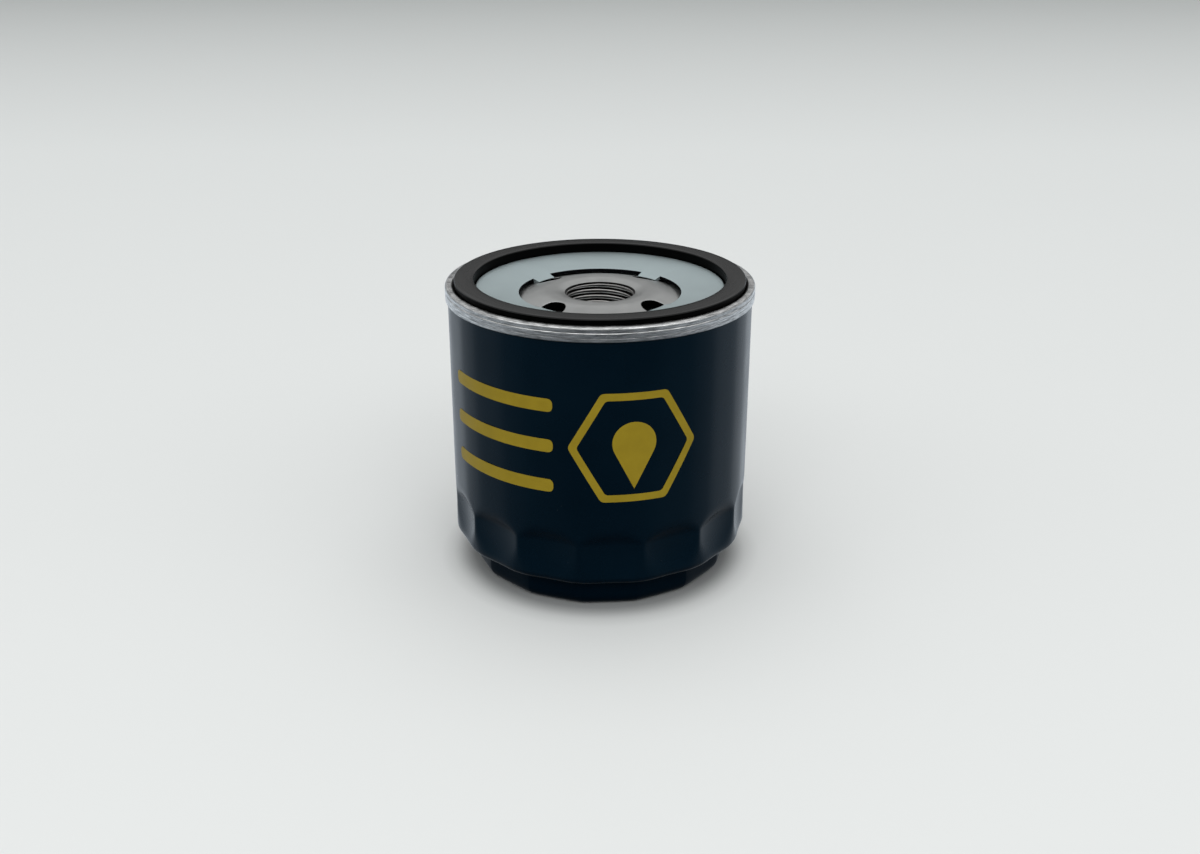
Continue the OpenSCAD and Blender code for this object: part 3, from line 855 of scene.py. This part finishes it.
def thread_grid(columns, top_z):
    """The collar's bore as a grid that climbs with the right-hand helix of its thread."""
    depth = THREAD_R - THREAD_MINOR_R
    root = THREAD_PITCH / 16
    mouth = THREAD_PITCH * 3 / 8
    # One pitch of the groove, as (height, depth): root, flanks and the worn, rounded crest
    shape = [
        (-mouth - 0.13, 0), (-mouth - 0.05, 0.02), (-mouth + 0.04, 0.1), (-root - 0.05, depth - 0.06),
        (-root + 0.03, depth), (0, depth), (root - 0.03, depth), (root + 0.05, depth - 0.06),
        (mouth - 0.04, 0.1), (mouth + 0.05, 0.02), (mouth + 0.13, 0),
    ]
    turns = math.ceil((top_z - COLLAR_Z) / THREAD_PITCH) + 3
    start = COLLAR_Z - THREAD_PITCH * 2.5 + THREAD_SHIFT
    rows = [(start + THREAD_PITCH * k + h, d) for k in range(turns) for h, d in shape]

    def bore_radius(z):
        return THREAD_MINOR_R + max(THREAD_END - z, 0)

    def point(row, column):
        z, d = rows[row]
        z += THREAD_PITCH * column / columns
        z = min(max(z, COLLAR_Z), top_z)
        fade = min((top_z - z) / THREAD_FADE, 1)
        return polar(max(bore_radius(z), THREAD_MINOR_R + d * fade), TURN * column / columns, z)

    size = len(rows)
    verts = [point(i, j) for j in range(columns) for i in range(size)]
    faces = []
    lead = len(shape)
    for j in range(columns):
        wrap = j == columns - 1
        for i in range(size - 1):
            a, b = j * size + i, j * size + i + 1
            if wrap:
                if i + 1 + lead >= size:
                    continue
                c, d = i + 1 + lead, i + lead
            else:
                c, d = b + size, a + size
            zs = [verts[k][2] for k in (a, b, c, d)]
            if max(zs) <= COLLAR_Z or min(zs) >= top_z:
                continue
            faces.append((a, b, c, d))
    end_ring = []
    for j in range(columns):
        z0 = THREAD_PITCH * j / columns
        heights = [(z + z0, d) for z, d in rows]
        d = 0
        for (za, da), (zb, db) in zip(heights, heights[1:]):
            if za <= COLLAR_Z <= zb and zb > za:
                d = da + (db - da) * (COLLAR_Z - za) / (zb - za)
        end_ring.append(polar(max(bore_radius(COLLAR_Z), THREAD_MINOR_R + d), TURN * j / columns, COLLAR_Z))
    return verts, faces, end_ring


# --------------------------------------------------
# The gasket, and the printed graphic
# --------------------------------------------------


def build_gasket():
    outline = filleted([
        (GASKET_IR, GROOVE_Z, 0.3),
        (GASKET_R, GROOVE_Z, 0.3),
        (GASKET_R, TOP_Z - 0.02, 0.28),
        (GASKET_R - 1.2, TOP_Z, 0.8),
        (GASKET_IR + 1.2, TOP_Z, 0.8),
        (GASKET_IR, TOP_Z - 0.02, 0.28),
    ], steps=6)
    gasket = revolve("face_gasket", outline, 240)
    # The steep walls' rubber is painted five times darker than the face: painted shade on the sides
    face, wall = (0.0010, 0.0013, 0.0014), (0.0002, 0.0002, 0.0002)
    gasket.data.materials.append(moulded_rubber("nitrile_gasket", face, 0.22, 0.02, 0.19))
    gasket.data.materials.append(moulded_rubber("nitrile_walls_painted_shade", wall, 0.4, 0.0, 0.03))
    steepest_face = 0.35
    for polygon in gasket.data.polygons:
        if abs(polygon.normal.z) < steepest_face:
            polygon.material_index = 1
    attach(gasket, "canister")
    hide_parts("sealing_gasket")
    return gasket


def inside(loop, p):
    """Whether a point lies inside a closed loop of points."""
    hit = False
    for a, b in zip(loop, loop[1:] + loop[:1]):
        if (a[1] > p[1]) != (b[1] > p[1]):
            if p[0] < a[0] + (b[0] - a[0]) * (p[1] - a[1]) / (b[1] - a[1]):
                hit = not hit
    return hit


def subdivided(loop, step):
    out = []
    for a, b in zip(loop, loop[1:] + loop[:1]):
        count = max(1, math.ceil(math.dist(a, b) / step))
        out += [(a[0] + (b[0] - a[0]) * k / count, a[1] + (b[1] - a[1]) * k / count) for k in range(count)]
    return out


def ink_shape(loops, proud=0.02, step=0.8):
    """A flat shape in millimetres, along the wall and up it, laid on the can as a thin film of ink."""
    loops = [subdivided(loop, step) for loop in loops]
    points = [p for loop in loops for p in loop]
    edges, start = [], 0
    for loop in loops:
        edges += [(start + i, start + (i + 1) % len(loop)) for i in range(len(loop))]
        start += len(loop)
    low_u, high_u = min(p[0] for p in points), max(p[0] for p in points)
    low_v, high_v = min(p[1] for p in points), max(p[1] for p in points)

    def filled(p):
        return sum(inside(loop, p) for loop in loops) % 2 == 1

    grid = []
    u = low_u + step
    while u < high_u:
        v = low_v + step
        while v < high_v:
            if filled((u, v)):
                grid.append((u, v))
            v += step * 2
        u += step
    flat, _, triangles, *_ = delaunay_2d_cdt([Vector(p) for p in points + grid], edges, [], 0, 1e-6)
    kept = [t for t in triangles if filled(sum((flat[i] for i in t), Vector((0, 0))) / 3)]
    edge_uses = {}
    for t in kept:
        for a, b in zip(t, t[1:] + t[:1]):
            edge_uses[frozenset((a, b))] = edge_uses.get(frozenset((a, b)), 0) + 1

    def on_wall(p, height):
        return polar(CAN_R + height, FRONT + p.x / CAN_R, p.y)

    count = len(flat)
    verts = [on_wall(p, proud) for p in flat] + [on_wall(p, -proud) for p in flat]
    faces = [tuple(t) for t in kept] + [tuple(i + count for i in reversed(t)) for t in kept]
    for edge, uses in edge_uses.items():
        if uses == 1:
            a, b = edge
            faces.append((a, b, b + count, a + count))
    return verts, faces


def bar(left, right, low, high, round_by):
    """A bar with rounded corners."""
    corners = [(left, low), (right, low), (right, high), (left, high)]
    return filleted([(u, v, round_by) for u, v in corners], steps=4)


def hexagon(u, v, flats, round_by):
    across = flats / math.cos(math.radians(30)) / 2
    corners = [
        (u + across * math.cos(math.radians(60 * i)), v + across * math.sin(math.radians(60 * i)), round_by)
        for i in range(6)
    ]
    return filleted(corners, steps=4)


def drop(u, v, radius, height):
    """An oil drop with its point down, since the print reads with the filter's dome upwards."""
    points = [(u, v - height)]
    reach = math.acos(radius / height)
    start, end = -TURN / 4 + reach, TURN * 3 / 4 - reach
    for k in range(29):
        a = start + (end - start) * k / 28
        points.append((u + radius * math.cos(a), v + radius * math.sin(a)))
    return points


def build_graphic():
    """A plain pictogram in gold: an oil drop in a hexagon, beside three bars."""
    verts, faces = [], []
    shapes = [
        [hexagon(8, 44, 27, 1.5), hexagon(8, 44, 23.4, 1.2)],
        [drop(8, 45.2, 5.2, 11.5)],
    ]
    shapes += [[bar(-43, -11, v - 1.6, v + 1.6, 1.2)] for v in (54, 44, 34)]
    for loops in shapes:
        new_verts, new_faces = ink_shape(loops)
        shift = len(verts)
        verts += new_verts
        faces += [tuple(i + shift for i in f) for f in new_faces]
    graphic = make_object("printed_graphic", verts, faces, sharp=30)
    graphic.data.materials.append(gold_ink())
    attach(graphic, "canister")
    return graphic


# --------------------------------------------------
# Springs, pleats and the rest of the inside
# --------------------------------------------------


def build_spring(name, node, body, wire, turns, segments):
    """A compression spring of round wire with closed, ground ends."""
    low, high = low_mm(node), high_mm(node)
    mean_r = high.x - wire / 2
    level = 0.4 / turns
    rings = []
    count = round(turns * segments)
    for i in range(count + 1):
        t = i / count
        rise = max(0, min(1, (t - level) / (1 - 2 * level)))
        rise = rise * rise * (3 - 2 * rise) * 0.15 + rise * 0.85
        angle = TURN * turns * t
        z = low.z + wire / 2 + (high.z - low.z - wire) * rise
        ring = []
        for k in range(16):
            a = TURN * k / 16
            height = min(max(z + wire / 2 * math.sin(a), low.z), high.z)
            ring.append(polar(mean_r + wire / 2 * math.cos(a), angle, height))
        rings.append(ring)
    verts, faces = sweep_rings(rings, closed_path=False)
    last = count * 16
    faces += [tuple(range(15, -1, -1)), tuple(range(last, last + 16))]
    spring = make_object(name, verts, faces, sharp=50)
    spring.data.materials.append(spring_wire(name + "_wire"))
    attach(spring, body)
    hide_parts(node)
    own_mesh(spring)
    return spring


def build_pleats():
    """The filter paper: 45 rounded pleats, folded from one strip of even thickness."""
    low, high = low_mm("pleated_media"), high_mm("pleated_media")
    pleats, paper = 45, 0.55
    outer_r, inner_r = high.x - paper / 2, 13.9 + paper / 2
    line = []
    for i in range(pleats):
        middle = TURN * i / pleats
        half = TURN / pleats / 2
        tip, root = 0.45 / outer_r, 0.30 / inner_r
        line += [
            (*polar(inner_r, middle - half + root, 0)[:2], 0.25),
            (*polar(outer_r, middle - tip, 0)[:2], 0.4),
            (*polar(outer_r, middle + tip, 0)[:2], 0.4),
            (*polar(inner_r, middle + half - root, 0)[:2], 0.25),
        ]
    line = filleted(line, steps=3)
    outlines = []
    for side in (-1, 1):
        outline = []
        for i, p in enumerate(line):
            ahead = Vector(line[(i + 1) % len(line)]) - Vector(line[i - 1])
            normal = Vector((ahead.y, -ahead.x)).normalized()
            outline.append(Vector(p) + normal * side * paper / 2)
        outlines.append(outline)
    levels = [low.z + (high.z - low.z) * k / 12 for k in range(13)]
    shells = [[(p.x, p.y, z) for p in outlines[1]] for z in levels]
    shells += [[(p.x, p.y, z) for p in outlines[0]] for z in reversed(levels)]
    media = make_object("pleated_paper", *sweep_rings(shells), sharp=40)
    media.data.materials.append(filter_paper())
    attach(media, "element")
    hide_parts("pleated_media")
    return media


def dress_cad_nodes():
    """The inner pieces keep their CAD shape, each with its own material."""
    steel = pressed_steel("bright_steel", (0.56, 0.57, 0.58), 0.32)
    chromate = pressed_steel("yellow_chromate", (0.62, 0.52, 0.28), 0.36, 0.55)
    valve = pressed_steel("valve_steel", (0.56, 0.54, 0.48), 0.30, 0.6)
    glue = cured_adhesive()
    coats = {
        "seam_sealant": moulded_rubber("seam_compound", (0.16, 0.15, 0.13), 0.6),
        "anti_drain_valve": moulded_rubber("diaphragm_rubber", (0.018, 0.017, 0.017), 0.5),
        "element_seal": moulded_rubber("grommet_rubber", (0.03, 0.026, 0.024), 0.55),
        "upper_end_cap": chromate,
        "lower_end_cap": chromate,
        "upper_adhesive": glue,
        "lower_adhesive": glue,
        "media_seam_clip": steel,
        "centre_tube": pressed_steel("tinned_tube", (0.50, 0.51, 0.52), 0.28, 0.5),
        "bypass_seat": moulded_rubber("seat_rubber", (0.022, 0.018, 0.018), 0.5),
        "bypass_disc": valve,
        "bypass_stem": steel,
        "bypass_cage": valve,
    }
    for node, material in coats.items():
        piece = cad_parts[node]
        piece.data.materials.clear()
        piece.data.materials.append(material)


# --------------------------------------------------
# Floor, light and camera
# --------------------------------------------------


def build_stage():
    size, steps = 6000, 12
    points = [-size + 2 * size * i / steps for i in range(steps + 1)]
    rows = [[(x, y, 0) for x in points] for y in points]
    floor = make_object("floor", *sweep_rings(rows, closed_ring=False, closed_path=False))
    floor.data.materials.append(pale_floor())
    floor.visible_glossy = False


def build_world():
    """Soft light from all round. What shines in the paint is its lower half: dark in front, bright behind."""
    world = bpy.data.worlds.new("studio")
    bpy.context.scene.world = world
    world.use_nodes = True
    tree = world.node_tree
    nodes, links = tree.nodes, tree.links
    background = nodes["Background"]
    where = nodes.new("ShaderNodeTexCoord").outputs["Generated"]
    split = nodes.new("ShaderNodeSeparateXYZ")
    links.new(where, split.inputs[0])

    def math_node(operation, a, b=0.0):
        node = nodes.new("ShaderNodeMath")
        node.operation = operation
        links.new(a, node.inputs[0])
        if isinstance(b, float):
            node.inputs[1].default_value = b
        else:
            links.new(b, node.inputs[1])
        return node.outputs[0]

    def times(a, b):
        node = nodes.new("ShaderNodeVectorMath")
        node.operation = "MULTIPLY"
        links.new(a, node.inputs[0])
        links.new(b, node.inputs[1])
        return node.outputs[0]

    def mixed(factor, a, b):
        mix = nodes.new("ShaderNodeMix")
        mix.data_type = "RGBA"
        links.new(factor, mix.inputs[0])
        colours = [s for s in mix.inputs if s.type == "RGBA"]
        links.new(a, colours[0])
        links.new(b, colours[1])
        return [s for s in mix.outputs if s.type == "RGBA"][0]

    def ramp(value, low, high, stops, tint=0.0):
        spread = nodes.new("ShaderNodeMapRange")
        spread.inputs["From Min"].default_value = low
        spread.inputs["From Max"].default_value = high
        links.new(value, spread.inputs["Value"])
        node = nodes.new("ShaderNodeValToRGB")
        elements = node.color_ramp.elements
        for i, (position, level) in enumerate(stops):
            element = elements[i] if i < 2 else elements.new(position)
            element.position = position
            element.color = (level * (1 - tint), level, level * (1 + tint), 1)
        links.new(spread.outputs[0], node.inputs[0])
        return node.outputs[0]

    ahead = [(0.04, 0.17), (0.45, 0.40), (0.625, 0.57), (0.785, 0.69), (0.9, 0.86)]
    level = ramp(split.outputs[1], -1, 1, ahead, tint=0.08)
    steep = ramp(split.outputs[2], -1, 0, [(0.0, 0.10), (0.30, 0.35), (0.50, 0.80), (0.58, 1.0)])
    below = times(level, steep)
    sideways = math_node("MULTIPLY", math_node("ABSOLUTE", split.outputs[0]), 0.5)
    height = math_node("ADD", split.outputs[2], sideways)
    wall = [(0.20, 0.08), (0.30, 0.38), (0.45, 0.70), (0.72, 0.68), (0.87, 0.49), (1.0, 0.75)]
    softbox = [(0.10, 0.10), (0.36, 0.14), (0.55, 1.00), (0.85, 2.10), (1.0, 0.90)]
    behind = ramp(height, 0, 1, wall)
    in_front = ramp(height, 0, 1, softbox)
    facing = nodes.new("ShaderNodeMapRange")
    facing.inputs["From Min"].default_value = 0.25
    facing.inputs["From Max"].default_value = -0.25
    links.new(split.outputs[1], facing.inputs["Value"])
    horizon = ramp(split.outputs[2], 0, 1, [(0.06, 0.10), (0.34, 1.0)])
    above = times(mixed(facing.outputs[0], behind, in_front), horizon)
    side = nodes.new("ShaderNodeMapRange")
    side.inputs["From Min"].default_value = -0.04
    side.inputs["From Max"].default_value = 0.10
    links.new(split.outputs[2], side.inputs["Value"])
    links.new(mixed(side.outputs[0], below, above), background.inputs["Color"])
    background.inputs["Strength"].default_value = 1


def area_light(name, place, target, size, power):
    light = bpy.data.lights.new(name, "AREA")
    light.shape = "RECTANGLE"
    light.size, light.size_y = size
    light.energy = power
    lamp = bpy.data.objects.new(name, light)
    lamp.visible_glossy = False
    lamp.location = place
    lamp.rotation_euler = (Vector(target) - Vector(place)).to_track_quat("-Z", "Y").to_euler()
    bpy.context.scene.collection.objects.link(lamp)


def build_camera():
    camera_data = bpy.data.cameras.new("camera")
    camera_data.lens = 40.2
    camera_data.sensor_width = 36
    camera = bpy.data.objects.new("camera", camera_data)
    camera.location = (0, -0.3182, TOP_Z * MM + 0.0910)
    camera.rotation_euler = (math.radians(90 - 22.43), 0, 0)
    bpy.context.scene.collection.objects.link(camera)
    bpy.context.scene.camera = camera


build_camera()
build_can()
build_lid()
build_plate()
build_gasket()
build_graphic()
build_spring("support_coil", "support_spring", "canister", 2.2, 3.5, 48)
build_spring("bypass_coil", "bypass_spring", "element", 0.9, 6, 40)
build_pleats()
dress_cad_nodes()
build_stage()
build_world()
area_light("overhead", (0, 0.5, 2.4), (0, 0.1, 0), (2.4, 2.0), 18)
area_light("front", (0, -1.0, 0.9), (0, 0, 0), (1.2, 0.5), 6)
bpy.context.scene.view_settings.view_transform = "Standard"
